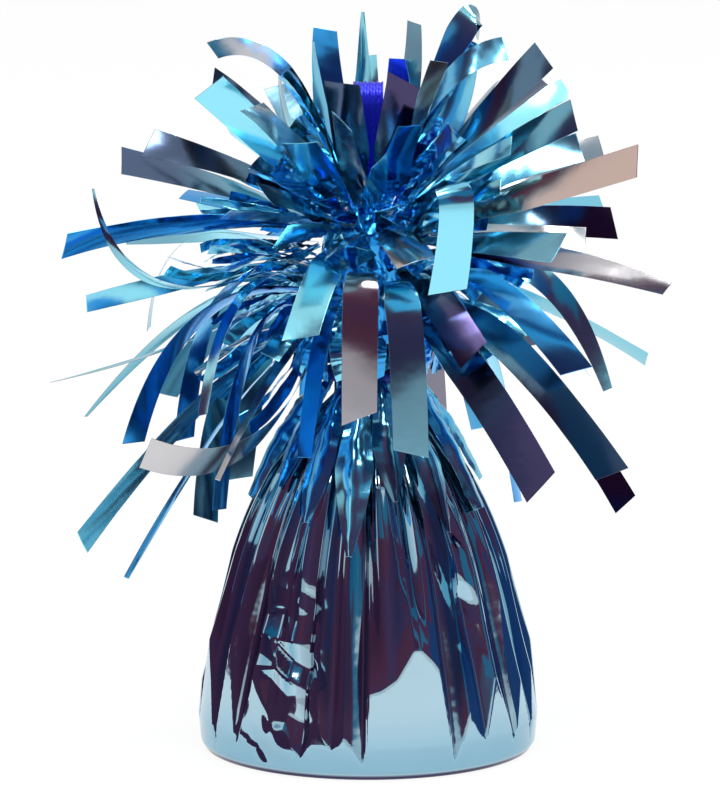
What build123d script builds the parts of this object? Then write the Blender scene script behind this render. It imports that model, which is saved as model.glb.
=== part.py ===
# Foil tassel balloon weight. A sand-filled cup stands mouth down in a square of metallised film,
# which is gathered to a neck, tied, and slit above the tie into a burst of strips.
# Millimetres, +Z up, origin at the middle of the foot.
import os
from math import copysign, cos, radians, sin

from build123d import *

os.makedirs("parts", exist_ok=True)

# Foil wrap
BASE_RADIUS = 31.5  # widest, just above the foot
BODY_HEIGHT = 66.0  # foot to the start of the neck
NECK_RADIUS = 6.0
NECK_LENGTH = 8.0
WRAP_FILM = 0.5  # two or three layers of film lie in each gather
PLEAT_DEPTH = 2.4  # ridge to valley where the pleats are deepest
PLEAT_RUN = 16.0  # how far above the taut foot a pleat is at its depth
NECK_PLEAT_DEPTH = 0.5
# Height by BODY_HEIGHT, radius by BASE_RADIUS, depth by PLEAT_DEPTH. The film is taut round the foot,
# where it leans in a little, and runs straight from there to the gathers.
WRAP_SHARES = (
    (0.000, 0.960, 0.04),
    (0.020, 0.988, 0.06),
    (0.092, 1.000, 0.12),
    (0.170, 0.975, 0.22),
    (0.258, 0.950, 0.34),
    (0.326, 0.922, 0.47),
    (0.394, 0.893, 0.60),
    (0.530, 0.803, 0.85),
    (0.652, 0.705, 1.00),
    (0.788, 0.556, 1.00),
    (0.909, 0.370, 0.70),
)
RIM_SHARE = 0.092  # of BODY_HEIGHT, where the foot is widest
FOOT_LEAN_SHARE = 0.09  # of the height above that
GATHER_SHARE = 0.606  # of BODY_HEIGHT, where the gathers are
# Gather lines in front: azimuth in degrees, height of the taut foot by BODY_HEIGHT, and how far the
# line stands out by half the depth, 1 on a ridge and -1 in a valley.
GATHER_LINE_SHARES = (
    (200, 0.21, 0.5),
    (206, 0.03, -0.8),
    (213, 0.36, 0.9),
    (219.6, 0.05, -0.9),
    (227, 0.27, 0.7),
    (233, 0.11, -0.5),
    (240.6, 0.14, 0.5),
    (247, 0.05, -0.8),
    (251.6, 0.15, 0.6),
    (257.5, 0.08, 0.2),
    (262, 0.12, 0.5),
    (268.6, 0.03, -1.0),
    (269.8, 0.24, -0.3),
    (274.4, 0.25, 0.8),
    (280, 0.28, 0.9),
    (286, 0.36, 0.2),
    (289, 0.36, -0.7),
    (292.5, 0.33, 0.5),
    (296, 0.29, 0.3),
    (300.4, 0.03, -1.0),
    (307, 0.17, 0.8),
    (313, 0.08, -0.9),
    (320, 0.26, 0.8),
    (329, 0.05, -0.9),
    (336, 0.23, 0.7),
)
# The lines round the back are evenly spread, and these run round them four times.
BACK_LINES = 32
BACK_FOOT_SHARES = (0.04, 0.24, 0.09, 0.30, 0.03, 0.19, 0.07, 0.33)
BACK_RIDGE_SHARES = (-0.9, 0.8, -0.6, 1.0, -1.0, 0.6, -0.5, 0.9)

# Ballast cup, its plug and the sand
CUP_TOP_SHARE = 0.652  # of BODY_HEIGHT
CUP_WALL = 1.2
CUP_EDGE = 1.5  # bevel round the closed top
WRAP_CLEARANCE = 0.3
PLUG_THICKNESS = 2.0
PLUG_CLEARANCE = 0.15
FILL_CLEARANCE = 0.2

# Neck band
BAND_THICKNESS = 2.0
BAND_CLEARANCE = 0.2

# Fringe heart
HEART_RADIUS = 9.0
STALK_CLEARANCE = 0.8  # the stalk sways in the neck
STALK_DEPTH = 7.5  # how far the stalk goes down into the neck
STALK_RISE = 1.5  # how far it stands out of the neck before it flares
FLARE_LENGTH = 2.5

# Fringe strips
BURST_RISE = 20.0  # middle of the burst above the neck
BURST_RADIUS = 56.0
STRIP_WIDTH = 6.5
FOIL = 0.25
STRIP_GAP = 0.5
ROOT_WIDTH_SHARE = 0.3  # a strip is drawn together where it leaves the gathers
FULL_WIDTH_SHARE = 0.5  # the share of its length by which a strip is at full width
ROOT_ROLL_SHARE = 0.3
ROOT_DROP_SHARE = 0.875  # hanging strips leave the heart lower down, by its straight stretch
STRIP_SPANS = 8  # flat spans along a strip
# A short inner strip stands beside each long one, where there is room, and lifts away from it.
INNER_SPANS = 4  # how many of the long strip's spans it goes along
INNER_WIDTH_SHARE = 0.7  # of the long strip's width
INNER_ROOT_LIFT = 0.7
INNER_LIFT = 5.0  # at its end

# Tie loop
LOOP_WIDTH = 5.5
LOOP_FILM = 0.4
LOOP_RADIUS = 3.6
LOOP_HEIGHT = 17.0  # foot of the loop to the middle of its round top
LOOP_GAP = 0.4

# Skirt strips
SKIRT_GAP = 0.8  # above the ridges at the tip
SKIRT_LIFT = 3.6  # off the middle of the wrap at the bend
SKIRT_ROOT_GAP = 0.3  # outside the band

# Strips of the burst: azimuth in degrees, reach and rise of the tip, arch and place of the bend,
# roll in degrees, width, lift of the inner strip. Lengths are shares of BURST_RADIUS, the place of
# the bend of the reach, the width of STRIP_WIDTH, the lift of INNER_LIFT: below 0 it is on the other
# side, and at 0 there is no inner strip. Azimuth 0 is +X, and 270 is the front.
TUFT_SHARES = {
    "crown_tuft": (
        (95, 0.20, 0.74, 0.04, 1.2, 70, 0.8, 1),
        (60, 0.19, 0.59, 0.10, 1.2, 10, 0.9, -0.6),
        (250, 0.25, 0.56, 0.02, 0.6, 15, 1.0, -0.3),
        (290, 0.33, 0.58, 0.02, 0.6, -35, 0.9, 0),
    ),
    "upper_left_tuft": (
        (176, 0.51, 0.53, 0.12, 0.5, 30, 1.0, 1),
        (165, 0.53, 0.62, 0.42, 0.5, 20, 1.0, -0.3),
        (225, 0.53, 0.50, 0.06, 0.5, 20, 1.0, 1),
        (130, 0.28, 0.64, 0.02, 0.9, 60, 0.8, 1),
    ),
    "left_tuft": (
        (195, 1.02, 0.03, 0.12, 0.5, 60, 0.9, 1),
        (172, 0.82, 0.26, 0.05, 0.5, 60, 1.0, -1),
        (184, 0.72, 0.34, 0.08, 0.5, -50, 1.0, 0.6),
        (200, 0.55, 0.54, 0.02, 0.5, 80, 1.0, -1),
    ),
    "left_low_tuft": (
        (188, 0.93, -0.18, 0.05, 0.5, 60, 0.8, 1),
        (201, 0.95, 0.23, -0.42, 0.9, 20, 0.7, 1),
        (178, 1.05, -0.47, -0.05, 0.5, 0, 0.6, 0),
        (173, 0.73, -0.30, 0.40, 0.95, 5, 0.6, -1),
        (166, 0.97, -0.62, 0.35, 0.5, 30, 0.8, 1),
    ),
    "lower_left_tuft": (
        (205, 0.84, -0.60, 0.35, 0.8, 50, 1.0, -1),
        (187, 0.61, -0.64, 0.50, 0.9, 50, 0.9, -1),
        (217, 0.67, -0.50, 0.40, 0.85, 20, 0.8, 1),
        (195, 0.97, -0.95, 0.25, 0.5, 60, 0.9, 1),
        (184, 0.80, -1.11, 0.30, 0.5, 30, 0.7, 1),
    ),
    "hanging_left_tuft": (
        (222, 0.96, -0.58, -0.45, 0.4, 75, 0.9, 1),
        (235, 0.84, -0.66, 0.15, 0.6, 40, 1.0, 1),
        (165, 0.56, -0.95, 0.42, 0.95, 40, 0.8, 1),
        (208, 0.55, -0.84, 0.50, 0.85, 40, 0.9, -1),
    ),
    "upper_right_tuft": (
        (20, 0.38, 0.66, 0.62, 1.1, 15, 1.0, -1),
        (354, 0.45, 0.65, 0.30, 0.5, 50, 0.9, 0),
        (314, 0.33, 0.63, 0.05, 0.6, 40, 0.9, -1),
        (338, 0.50, 0.35, 0.06, 0.5, 30, 0.9, -0.3),
    ),
    "right_fan_tuft": (
        (345, 0.59, 0.64, 0.02, 0.5, 75, 0.9, 0.6),
        (10, 0.59, 0.52, 0.06, 0.5, 10, 0.9, 1),
        (22, 0.71, 0.48, 0.10, 0.5, 60, 0.9, -1),
        (350, 0.68, 0.44, 0.05, 0.5, 70, 0.9, -1),
        (5, 0.70, 0.31, 0.06, 0.5, 65, 0.9, -1),
    ),
    "right_tuft": (
        (339, 0.93, 0.32, 0.00, 0.5, 80, 0.9, 1),
        (25, 0.86, 0.26, 0.06, 0.5, 60, 0.9, -1),
        (8, 0.82, 0.05, 0.06, 0.5, 80, 0.9, -1),
        (350, 0.72, 0.03, 0.05, 0.5, 40, 0.9, 1),
    ),
    "right_reach_tuft": (
        (325, 0.75, 0.05, 0.02, 0.5, 40, 1.1, 1),
        (335, 1.06, -0.08, 0.10, 0.5, 60, 0.9, -1),
        (15, 0.96, -0.43, 0.15, 0.5, 30, 0.9, 1),
    ),
    "lower_right_tuft": (
        (343, 0.71, -0.39, 0.28, 0.5, 50, 0.9, -1),
        (1, 0.79, -0.49, 0.42, 0.75, 55, 0.9, -0.6),
        (341, 0.84, -0.72, 0.30, 0.5, 50, 1.1, -1),
        (6, 0.86, -0.89, 0.40, 0.5, 45, 1.0, 1),
    ),
    "hanging_right_tuft": (
        (305, 0.59, -0.29, 0.15, 0.5, 45, 1.0, 1),
        (310, 0.86, -0.69, 0.20, 0.5, 55, 1.1, 1),
        (327, 0.45, -0.57, 0.35, 0.7, 60, 0.9, -0.3),
        (352, 0.50, -0.85, 0.33, 0.8, 20, 0.8, -1),
    ),
    "front_tuft": (
        (303, 0.47, -0.10, 0.62, 1.4, 15, 1.1, -1),
        (284, 0.62, 0.03, 0.10, 0.5, 20, 1.1, 1),
        (287, 0.47, -0.62, 0.50, 0.9, 15, 1.0, -1),
        (266, 0.42, -0.51, 0.45, 0.9, 0, 1.0, -1),
        (244, 0.50, -0.24, 0.25, 0.5, -20, 1.0, -1),
        (248, 0.55, -0.62, 0.35, 0.7, 25, 0.7, -1),
    ),
}

# Fans of like strips that fill the burst between those above: first and last azimuth, then reach,
# rise, arch and place of the bend as above, and the lift of each inner strip.
FAN_SHARES = {
    "front_upper_tuft": (238, 312, 0.42, 0.38, 0.00, 0.5, (-0.6, 0.3, 0.3, -0.3, -1)),
    "front_middle_tuft": (213, 262, 0.55, 0.14, 0.04, 0.5, (-1, -0.3, -1, -0.3, -1)),
    "back_crown_tuft": (40, 140, 0.42, 0.62, 0.05, 1.0, (1, -1, 1, -1, 0.6)),
    "back_upper_left_tuft": (104, 160, 0.75, 0.38, 0.00, 0.5, (1, -0.6, -1, -0.6, 0.6)),
    "back_upper_right_tuft": (40, 82, 0.75, 0.38, 0.00, 0.5, (-1, -0.3, -1, -0.3, -1)),
    "back_left_tuft": (97, 160, 0.95, 0.05, 0.03, 0.5, (1, 1, 1, -1, -1)),
    "back_right_tuft": (34, 83, 0.95, 0.05, 0.03, 0.5, (-1, -0.3, -1, -1, -1)),
    "back_low_left_tuft": (97, 151, 0.85, -0.50, 0.30, 0.5, (1, 0, -1, -0.6, -0.6)),
    "back_low_right_tuft": (30, 84, 0.85, -0.50, 0.30, 0.5, (1, 0, 0.3, -0.3, 0.3)),
    "back_hanging_tuft": (45, 135, 0.68, -0.80, 0.45, 0.8, (-1, -1, -1, -1, -1)),
}
# How the strips of a fan differ: by its reach, by BURST_RADIUS, degrees, by STRIP_WIDTH.
FAN_COUNT = 5
FAN_REACH_SHARES = (1.0, 0.86, 0.96, 0.8, 0.92)
FAN_RISE_SHARES = (0.0, 0.07, -0.05, 0.05, -0.07)
FAN_ROLL_DEGREES = (25, -40, 55, -15, 40)
FAN_WIDTH_SHARES = (0.9, 1.0, 0.85, 0.95, 0.9)

# Strips on the wrap: azimuth in degrees, height of the tip by BODY_HEIGHT, roll in degrees, width.
SKIRT_SHARES = {
    "front_skirt": ((262, 0.61, 4, 1.1), (240, 0.69, -8, 0.9), (284, 0.75, 6, 1.0)),
    "left_skirt": ((216, 0.77, 8, 0.9), (190, 0.72, -6, 1.0), (165, 0.78, 5, 0.9)),
    "right_skirt": ((308, 0.66, -8, 0.9), (334, 0.70, 7, 1.0), (0, 0.76, -5, 0.9)),
    "back_skirt": ((35, 0.70, 6, 1.0), (70, 0.76, -6, 0.9), (105, 0.67, 5, 1.0), (136, 0.74, -7, 0.9)),
}

# Heights and radii that the pieces share
up = Vector(0, 0, 1)
neck_top = BODY_HEIGHT + NECK_LENGTH
tie_height = BODY_HEIGHT + NECK_LENGTH / 2
neck_bore = NECK_RADIUS - NECK_PLEAT_DEPTH / 2 - WRAP_FILM
neck_ridge = NECK_RADIUS + NECK_PLEAT_DEPTH / 2
burst_height = neck_top + BURST_RISE
heart_foot = neck_top + STALK_RISE + FLARE_LENGTH
band_radius = neck_ridge + BAND_CLEARANCE + BAND_THICKNESS / 2

# Height, middle radius and pleat depth at each level of the wrap
wrap_levels = [(z * BODY_HEIGHT, r * BASE_RADIUS, d * PLEAT_DEPTH) for z, r, d in WRAP_SHARES]
wrap_levels.append((BODY_HEIGHT, NECK_RADIUS, NECK_PLEAT_DEPTH))
wrap_levels.append((neck_top, NECK_RADIUS, NECK_PLEAT_DEPTH))


def wrap_at(height):
    # Middle radius and pleat depth of the wrap at a height, between the two levels beside it.
    for low, high in zip(wrap_levels, wrap_levels[1:]):
        if height <= high[0]:
            share = (height - low[0]) / (high[0] - low[0])
            return low[1] + share * (high[1] - low[1]), low[2] + share * (high[2] - low[2])
    return wrap_levels[-1][1:]


# Azimuth, height of the taut foot and ridge of each gather line, once round the wrap
first_back, last_back = GATHER_LINE_SHARES[-1][0], GATHER_LINE_SHARES[0][0] + 360
gather_lines = [(azimuth, foot * BODY_HEIGHT, ridge) for azimuth, foot, ridge in GATHER_LINE_SHARES]
for line in range(BACK_LINES):
    azimuth = first_back + (last_back - first_back) * (line + 1) / (BACK_LINES + 1)
    foot_height = BACK_FOOT_SHARES[line % len(BACK_FOOT_SHARES)] * BODY_HEIGHT
    gather_lines.append((azimuth, foot_height, BACK_RIDGE_SHARES[line % len(BACK_RIDGE_SHARES)]))


def foot_at(height):
    # Radius of the taut foot at a height.
    rim = RIM_SHARE * BODY_HEIGHT
    return wrap_at(height)[0] if height < rim else BASE_RADIUS - FOOT_LEAN_SHARE * (height - rim)


def line_at(height, foot_height, ridge):
    # Radius of a gather line at a height: the foot, then straight to the gathers, then the levels.
    radius, depth = wrap_at(height)
    gather_height = GATHER_SHARE * BODY_HEIGHT
    if height < foot_height:
        radius = foot_at(height)
    elif height < gather_height:
        share = (height - foot_height) / (gather_height - foot_height)
        radius = foot_at(foot_height) * (1 - share) + wrap_at(gather_height)[0] * share
    return radius + ridge * depth / 2 * min(max((height - foot_height) / PLEAT_RUN, 0), 1)


def wrap_inside(height):
    # Radius of the hollow inside the wrap, behind its deepest valley.
    valley = min(line_at(height, foot_height, ridge) for azimuth, foot_height, ridge in gather_lines)
    return valley - WRAP_FILM


def pleat_outline(height):
    # The gather lines at a height, once round the wrap.
    points = []
    for azimuth, foot_height, ridge in gather_lines:
        radius = line_at(height, foot_height, ridge)
        points.append((radius * cos(radians(azimuth)), radius * sin(radians(azimuth))))
    return points


# Foil wrap: ruled through the pleat outlines, hollow inside, closed under the foot
with BuildPart() as foil_wrap:
    for height, radius, depth in wrap_levels:
        with BuildSketch(Plane.XY.offset(height)):
            with BuildLine():
                Polyline(*pleat_outline(height), close=True)
            make_face()
    loft(ruled=True)
    with BuildSketch(Plane.XZ):
        with BuildLine():
            sides = [(wrap_inside(height), height) for height, radius, depth in wrap_levels[1:]]
            Polyline((0, WRAP_FILM), (wrap_inside(WRAP_FILM), WRAP_FILM), *sides, (0, neck_top), close=True)
        make_face()
    revolve(axis=Axis.Z, mode=Mode.SUBTRACT)
foil_wrap.part.label = "foil_wrap"
export_step(foil_wrap.part, "parts/foil_wrap.step")

# Ballast cup: a cone with its mouth down, just inside the wrap
cup_foot = WRAP_FILM + WRAP_CLEARANCE
cup_top = CUP_TOP_SHARE * BODY_HEIGHT
cup_foot_radius = wrap_inside(cup_foot) - WRAP_CLEARANCE
cup_top_radius = wrap_inside(cup_top) - WRAP_CLEARANCE


def cup_bore(height):
    # Radius of the cup's inside.
    share = (height - cup_foot) / (cup_top - cup_foot)
    return cup_foot_radius + share * (cup_top_radius - cup_foot_radius) - CUP_WALL


with BuildPart() as ballast_cup:
    with BuildSketch(Plane.XZ):
        with BuildLine():
            Polyline(
                (cup_bore(cup_foot), cup_foot),
                (cup_foot_radius, cup_foot),
                (cup_top_radius, cup_top - CUP_EDGE),
                (cup_top_radius - CUP_EDGE, cup_top),
                (0, cup_top),
                (0, cup_top - CUP_WALL),
                (cup_bore(cup_top - CUP_WALL) - CUP_EDGE, cup_top - CUP_WALL),
                (cup_bore(cup_top - CUP_WALL - CUP_EDGE), cup_top - CUP_WALL - CUP_EDGE),
                close=True,
            )
        make_face()
    revolve(axis=Axis.Z)
ballast_cup.part.label = "ballast_cup"
export_step(ballast_cup.part, "parts/ballast_cup.step")

# Base plug: a tapered disc in the mouth of the cup
plug_top = cup_foot + PLUG_THICKNESS
with BuildPart() as base_plug:
    with BuildSketch(Plane.XZ):
        with BuildLine():
            Polyline(
                (0, cup_foot),
                (cup_bore(cup_foot) - PLUG_CLEARANCE, cup_foot),
                (cup_bore(plug_top) - PLUG_CLEARANCE, plug_top),
                (0, plug_top),
                close=True,
            )
        make_face()
    revolve(axis=Axis.Z)
base_plug.part.label = "base_plug"
export_step(base_plug.part, "parts/base_plug.step")

# Ballast fill: the sand, resting on the plug
fill_top = cup_top - CUP_WALL - CUP_EDGE - FILL_CLEARANCE
with BuildPart() as ballast_fill:
    with BuildSketch(Plane.XZ):
        with BuildLine():
            Polyline(
                (0, plug_top),
                (cup_bore(plug_top) - FILL_CLEARANCE, plug_top),
                (cup_bore(fill_top) - FILL_CLEARANCE, fill_top),
                (0, fill_top),
                close=True,
            )
        make_face()
    revolve(axis=Axis.Z)
ballast_fill.part.label = "ballast_fill"
export_step(ballast_fill.part, "parts/ballast_fill.step")

# Neck band: round elastic
with BuildPart() as neck_band:
    with BuildSketch(Plane.XZ):
        with Locations((band_radius, tie_height)):
            Circle(BAND_THICKNESS / 2)
    revolve(axis=Axis.Z)
neck_band.part.label = "neck_band"
export_step(neck_band.part, "parts/neck_band.step")

# Fringe heart: the bunched film, a stalk in the neck that flares to a round top
stalk_radius = neck_bore - STALK_CLEARANCE
with BuildPart() as fringe_heart:
    with BuildSketch(Plane.XZ):
        with BuildLine():
            Polyline(
                (0, burst_height + HEART_RADIUS),
                (0, neck_top - STALK_DEPTH),
                (stalk_radius, neck_top - STALK_DEPTH),
                (stalk_radius, neck_top + STALK_RISE),
                (HEART_RADIUS, heart_foot),
                (HEART_RADIUS, burst_height),
            )
            RadiusArc((HEART_RADIUS, burst_height), (0, burst_height + HEART_RADIUS), -HEART_RADIUS)
        make_face()
    revolve(axis=Axis.Z)
fringe_heart.part.label = "fringe_heart"
export_step(fringe_heart.part, "parts/fringe_heart.step")


def foil_strip(azimuth, root, bend, tip, roll, width, spans=STRIP_SPANS, root_lift=0, end_lift=0):
    # A strip along the curve from root to tip that the bend pulls out, in an upright plane through
    # the axis. Across, it lies level at roll 0, and the roll grows towards the tip. A strip of fewer
    # spans ends part of the way along, and the lifts move it off the curve, square to its face.
    level = up.cross(Vector(cos(radians(azimuth)), sin(radians(azimuth)), 0))
    with BuildPart() as strip:
        for station in range(spans + 1):
            share = station / STRIP_SPANS
            lift = root_lift + (end_lift - root_lift) * station / spans
            place = root * (1 - share) ** 2 + bend * (2 * share * (1 - share)) + tip * share**2
            along = ((bend - root) * (1 - share) + (tip - bend) * share).normalized()
            turn = radians(roll * (ROOT_ROLL_SHARE + (1 - ROOT_ROLL_SHARE) * share))
            across = level * cos(turn) + along.cross(level) * sin(turn)
            spread = ROOT_WIDTH_SHARE + (1 - ROOT_WIDTH_SHARE) * min(share / FULL_WIDTH_SHARE, 1)
            place += along.cross(across) * lift
            with BuildSketch(Plane(origin=place, x_dir=across, z_dir=along)):
                Rectangle(STRIP_WIDTH * width * spread, FOIL)
        loft(ruled=True)
    return strip.part


def burst_strips(azimuth, reach, rise, arch, bow, roll, width, lift):
    # A strip of the burst, rooted on the heart, and its inner strip. Rising strips leave the heart's
    # round top towards their bend, and the others leave its side level.
    outward = Vector(cos(radians(azimuth)), sin(radians(azimuth)), 0)
    middle = up * burst_height
    start = middle + up * (ROOT_DROP_SHARE * min(rise, 0) * (burst_height - heart_foot))
    tip = middle + (outward * reach + up * rise) * BURST_RADIUS
    bend = (start + up * tip.Z) / 2
    bend = up * bend.Z + (outward * (bow * reach) + up * arch) * BURST_RADIUS
    lean = (bend - start).normalized() if min(rise, bend.Z - start.Z) >= 0 else outward
    root = start + lean * (HEART_RADIUS + STRIP_GAP)
    strips = [foil_strip(azimuth, root, bend, tip, roll, width)]
    if lift:
        inner_width = width * INNER_WIDTH_SHARE
        lifts = (copysign(INNER_ROOT_LIFT, lift), lift * INNER_LIFT)
        strips.append(foil_strip(azimuth, root, bend, tip, roll, inner_width, INNER_SPANS, *lifts))
    return strips


def fan_rows(first, last, reach, rise, arch, bow, lifts):
    # The strips of a fan, evenly spread from the first azimuth to the last.
    rows = []
    for index in range(FAN_COUNT):
        rows.append(
            (
                first + (last - first) * index / (FAN_COUNT - 1),
                reach * FAN_REACH_SHARES[index],
                rise + FAN_RISE_SHARES[index],
                arch,
                bow,
                FAN_ROLL_DEGREES[index],
                FAN_WIDTH_SHARES[index],
                lifts[index],
            )
        )
    return rows


def skirt_strip(azimuth, tip_height, roll, width):
    # A strip that starts at the band and falls over the shoulder of the wrap.
    outward = Vector(cos(radians(azimuth)), sin(radians(azimuth)), 0)
    root_radius = band_radius + BAND_THICKNESS / 2 + SKIRT_ROOT_GAP
    root = outward * root_radius + up * tie_height
    tip_z = tip_height * BODY_HEIGHT
    tip_radius, tip_depth = wrap_at(tip_z)
    tip = outward * (tip_radius + tip_depth / 2 + SKIRT_GAP) + up * tip_z
    bend_z = (tie_height + tip_z) / 2
    bend = outward * (wrap_at(bend_z)[0] + SKIRT_LIFT) + up * bend_z
    return foil_strip(azimuth, root, bend, tip, roll, width)


# Tufts: each strip is a solid of its own, and neighbours share a node
burst_rows = dict(TUFT_SHARES)
burst_rows.update({name: fan_rows(*fan) for name, fan in FAN_SHARES.items()})
tufts = {name: [strip for row in rows for strip in burst_strips(*row)] for name, rows in burst_rows.items()}
tufts.update({name: [skirt_strip(*row) for row in rows] for name, rows in SKIRT_SHARES.items()})
for name, strips in tufts.items():
    with BuildPart() as tuft:
        add(strips)
    tuft.part.label = name
    export_step(tuft.part, f"parts/{name}.step")

# Tie loop: a ribbon bent to a drop, its two ends tied together at the heart
loop_foot = burst_height + HEART_RADIUS + LOOP_GAP
loop_middle = loop_foot + LOOP_HEIGHT
with BuildPart() as tie_loop:
    with BuildSketch(Plane.YZ):
        with BuildLine():
            left_end = (-LOOP_RADIUS, loop_middle)
            right_end = (LOOP_RADIUS, loop_middle)
            Polyline(left_end, (-LOOP_FILM, loop_foot), (LOOP_FILM, loop_foot), right_end)
            ThreePointArc(right_end, (0, loop_middle + LOOP_RADIUS), left_end)
        make_face()
        with BuildLine():
            eye = LOOP_RADIUS - LOOP_FILM
            Polyline((-eye, loop_middle), (0, loop_foot + LOOP_RADIUS), (eye, loop_middle))
            ThreePointArc((eye, loop_middle), (0, loop_middle + eye), (-eye, loop_middle))
        make_face(mode=Mode.SUBTRACT)
    extrude(amount=LOOP_WIDTH / 2, both=True)
tie_loop.part.label = "tie_loop"
export_step(tie_loop.part, "parts/tie_loop.step")
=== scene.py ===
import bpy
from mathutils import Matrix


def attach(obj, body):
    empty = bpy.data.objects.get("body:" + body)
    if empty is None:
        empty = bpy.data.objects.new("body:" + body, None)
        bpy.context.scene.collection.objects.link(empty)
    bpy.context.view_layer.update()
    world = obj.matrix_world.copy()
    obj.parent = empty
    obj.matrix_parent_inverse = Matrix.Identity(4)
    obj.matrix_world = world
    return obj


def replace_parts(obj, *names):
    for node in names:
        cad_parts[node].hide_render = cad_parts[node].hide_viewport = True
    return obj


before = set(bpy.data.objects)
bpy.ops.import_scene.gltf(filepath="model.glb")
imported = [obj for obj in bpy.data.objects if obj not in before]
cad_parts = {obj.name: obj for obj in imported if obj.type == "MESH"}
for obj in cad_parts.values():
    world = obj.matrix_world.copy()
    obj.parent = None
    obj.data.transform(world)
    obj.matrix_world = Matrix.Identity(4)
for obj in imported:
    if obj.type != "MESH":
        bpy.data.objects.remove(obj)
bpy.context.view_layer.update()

import math

import bpy
import numpy as np

# Foil tassel balloon weight: a weight wrapped in light-blue film, with a burst of film strips.
# The object's sizes are in millimetres and turned to metres as a mesh is made.
mm = 0.001


def linearColour(hexColour):
    # sRGB hex to linear light, with alpha 1
    channels = np.array([int(hexColour[i:i + 2], 16) for i in (1, 3, 5)]) / 255
    linear = np.where(channels <= 0.04045, channels / 12.92, ((channels + 0.055) / 1.055) ** 2.4)
    return (*linear.tolist(), 1.0)


def addNode(tree, kind, settings=None):
    # One node: settings name its sockets or properties, each with a value or the output that feeds it
    node = tree.nodes.new(kind)
    for name, value in (settings or {}).items():
        if isinstance(value, bpy.types.NodeSocket):
            tree.links.new(value, node.inputs[name])
        elif isinstance(name, int) or name in node.inputs:
            node.inputs[name].default_value = value
        else:
            setattr(node, name, value)
    return node


def mathNode(tree, operation, first, second):
    # What one sum of two numbers or outputs comes to
    return addNode(tree, "ShaderNodeMath", {"operation": operation, 0: first, 1: second}).outputs[0]


def mixColours(tree, share, first, second, blend="MIX"):
    # From the first colour towards the second by the share
    settings = {"data_type": "RGBA", "blend_type": blend, 0: share, 6: first, 7: second}
    return addNode(tree, "ShaderNodeMix", settings).outputs[2]


def mixShaders(tree, share, first, second):
    return addNode(tree, "ShaderNodeMixShader", {0: share, 1: first.outputs[0], 2: second.outputs[0]})


def fineNoise(tree, size, detail):
    # Noise with spots of a size in mm, tied to the piece
    place = addNode(tree, "ShaderNodeTexCoord")
    settings = {"Scale": 1 / (size * mm), "Detail": detail, "Vector": place.outputs["Object"]}
    return addNode(tree, "ShaderNodeTexNoise", settings).outputs[0]


def newMaterial(name):
    material = bpy.data.materials.new(name)
    material.use_nodes = True
    material.node_tree.nodes.clear()
    return material, material.node_tree


def smoothStep(low, high, value):
    # 0 below low, 1 above high, and an even S between
    share = np.clip((value - low) / (high - low), 0, 1)
    return share * share * (3 - 2 * share)


def unit(vectors):
    return vectors / np.linalg.norm(vectors, axis=-1, keepdims=True)


def triangleWave(phase):
    # From -1 to 1 and back in straight runs, once for each whole number
    return 4 * np.abs(phase - np.floor(phase + 0.5)) - 1


# Equal triangles: how far a row leans past the one below, rows to a side's length, and cells until it repeats
lattice = {"lean": 0.57735, "rows": 1.1547, "cells": 64}


def facetNoise(x, y, seed):
    # Random heights on the corners of a lattice of triangles, joined by flat facets: crumpled film
    cells = lattice["cells"]
    table = np.random.default_rng(seed).uniform(-1, 1, (cells, cells))
    p, q = x + y * lattice["lean"], y * lattice["rows"]
    column, row = np.floor(p).astype(int), np.floor(q).astype(int)
    a, b = p - column, q - row
    steps = ((0, 0), (1, 0), (0, 1), (1, 1))
    corner, right, above, far = (table[(column + i) % cells, (row + j) % cells] for i, j in steps)
    nearHalf = corner + a * (right - corner) + b * (above - corner)
    farHalf = far + (1 - a) * (above - far) + (1 - b) * (right - far)
    return np.where(a + b < 1, nearHalf, farHalf)


def ringFaces(rows, columns, first=0):
    # The points of closed rings, numbered from first, the next one round for each, and the quads between
    index = first + np.arange(rows * columns).reshape(rows, columns)
    turned = np.roll(index, -1, axis=1)
    return index, turned, np.stack([index[:-1], turned[:-1], turned[1:], index[1:]], -1).reshape(-1, 4)


def makePiece(name, points, faces, body, materials,
              faceMaterial=None, flatFace=None, reflectionTone=None, pole=None):
    # points (n, 3) in mm, quads (m, 4) and any triangles at a pole to a mesh that rides on a body
    mesh = bpy.data.meshes.new(name)
    mesh.from_pydata((points * mm).tolist(), [], faces.tolist() + ([] if pole is None else pole.tolist()))
    for material in materials:
        mesh.materials.append(material)
    smooth = np.ones(len(mesh.polygons), bool) if flatFace is None else ~flatFace
    mesh.polygons.foreach_set("use_smooth", smooth)
    if faceMaterial is not None:
        mesh.polygons.foreach_set("material_index", faceMaterial.astype(np.int32))
    if reflectionTone is not None:
        mesh.attributes.new("reflectionTone", "FLOAT", "POINT").data.foreach_set("value", reflectionTone.astype(np.float32))
    mesh.update()
    piece = bpy.data.objects.new(name, mesh)
    bpy.context.scene.collection.objects.link(piece)
    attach(piece, body)
    return piece


# Camera: the photograph's angle, 10 degrees above the horizon, from far off
view = {
    "aim": (-1.5, 0.0, 65.7),
    "elevation": 10,
    "distance": 1200,
    "framedHeight": 145.8,
    "sensor": 36,
    "farthest": 50,  # metres
}
tilt = math.radians(view["elevation"])
cameraData = bpy.data.cameras.new("photoCamera")
cameraData.sensor_width = view["sensor"]
cameraData.lens = view["sensor"] * view["distance"] / view["framedHeight"]
cameraData.clip_end = view["farthest"]
cameraObject = bpy.data.objects.new("photoCamera", cameraData)
bpy.context.scene.collection.objects.link(cameraObject)
back = np.array([0, -math.cos(tilt), math.sin(tilt)])
cameraObject.location = (np.array(view["aim"]) + back * view["distance"]) * mm
cameraObject.rotation_euler = (math.pi / 2 - tilt, 0, 0)
bpy.context.scene.camera = cameraObject
bpy.context.scene.view_settings.view_transform = "Standard"
print("camera set")

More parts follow.
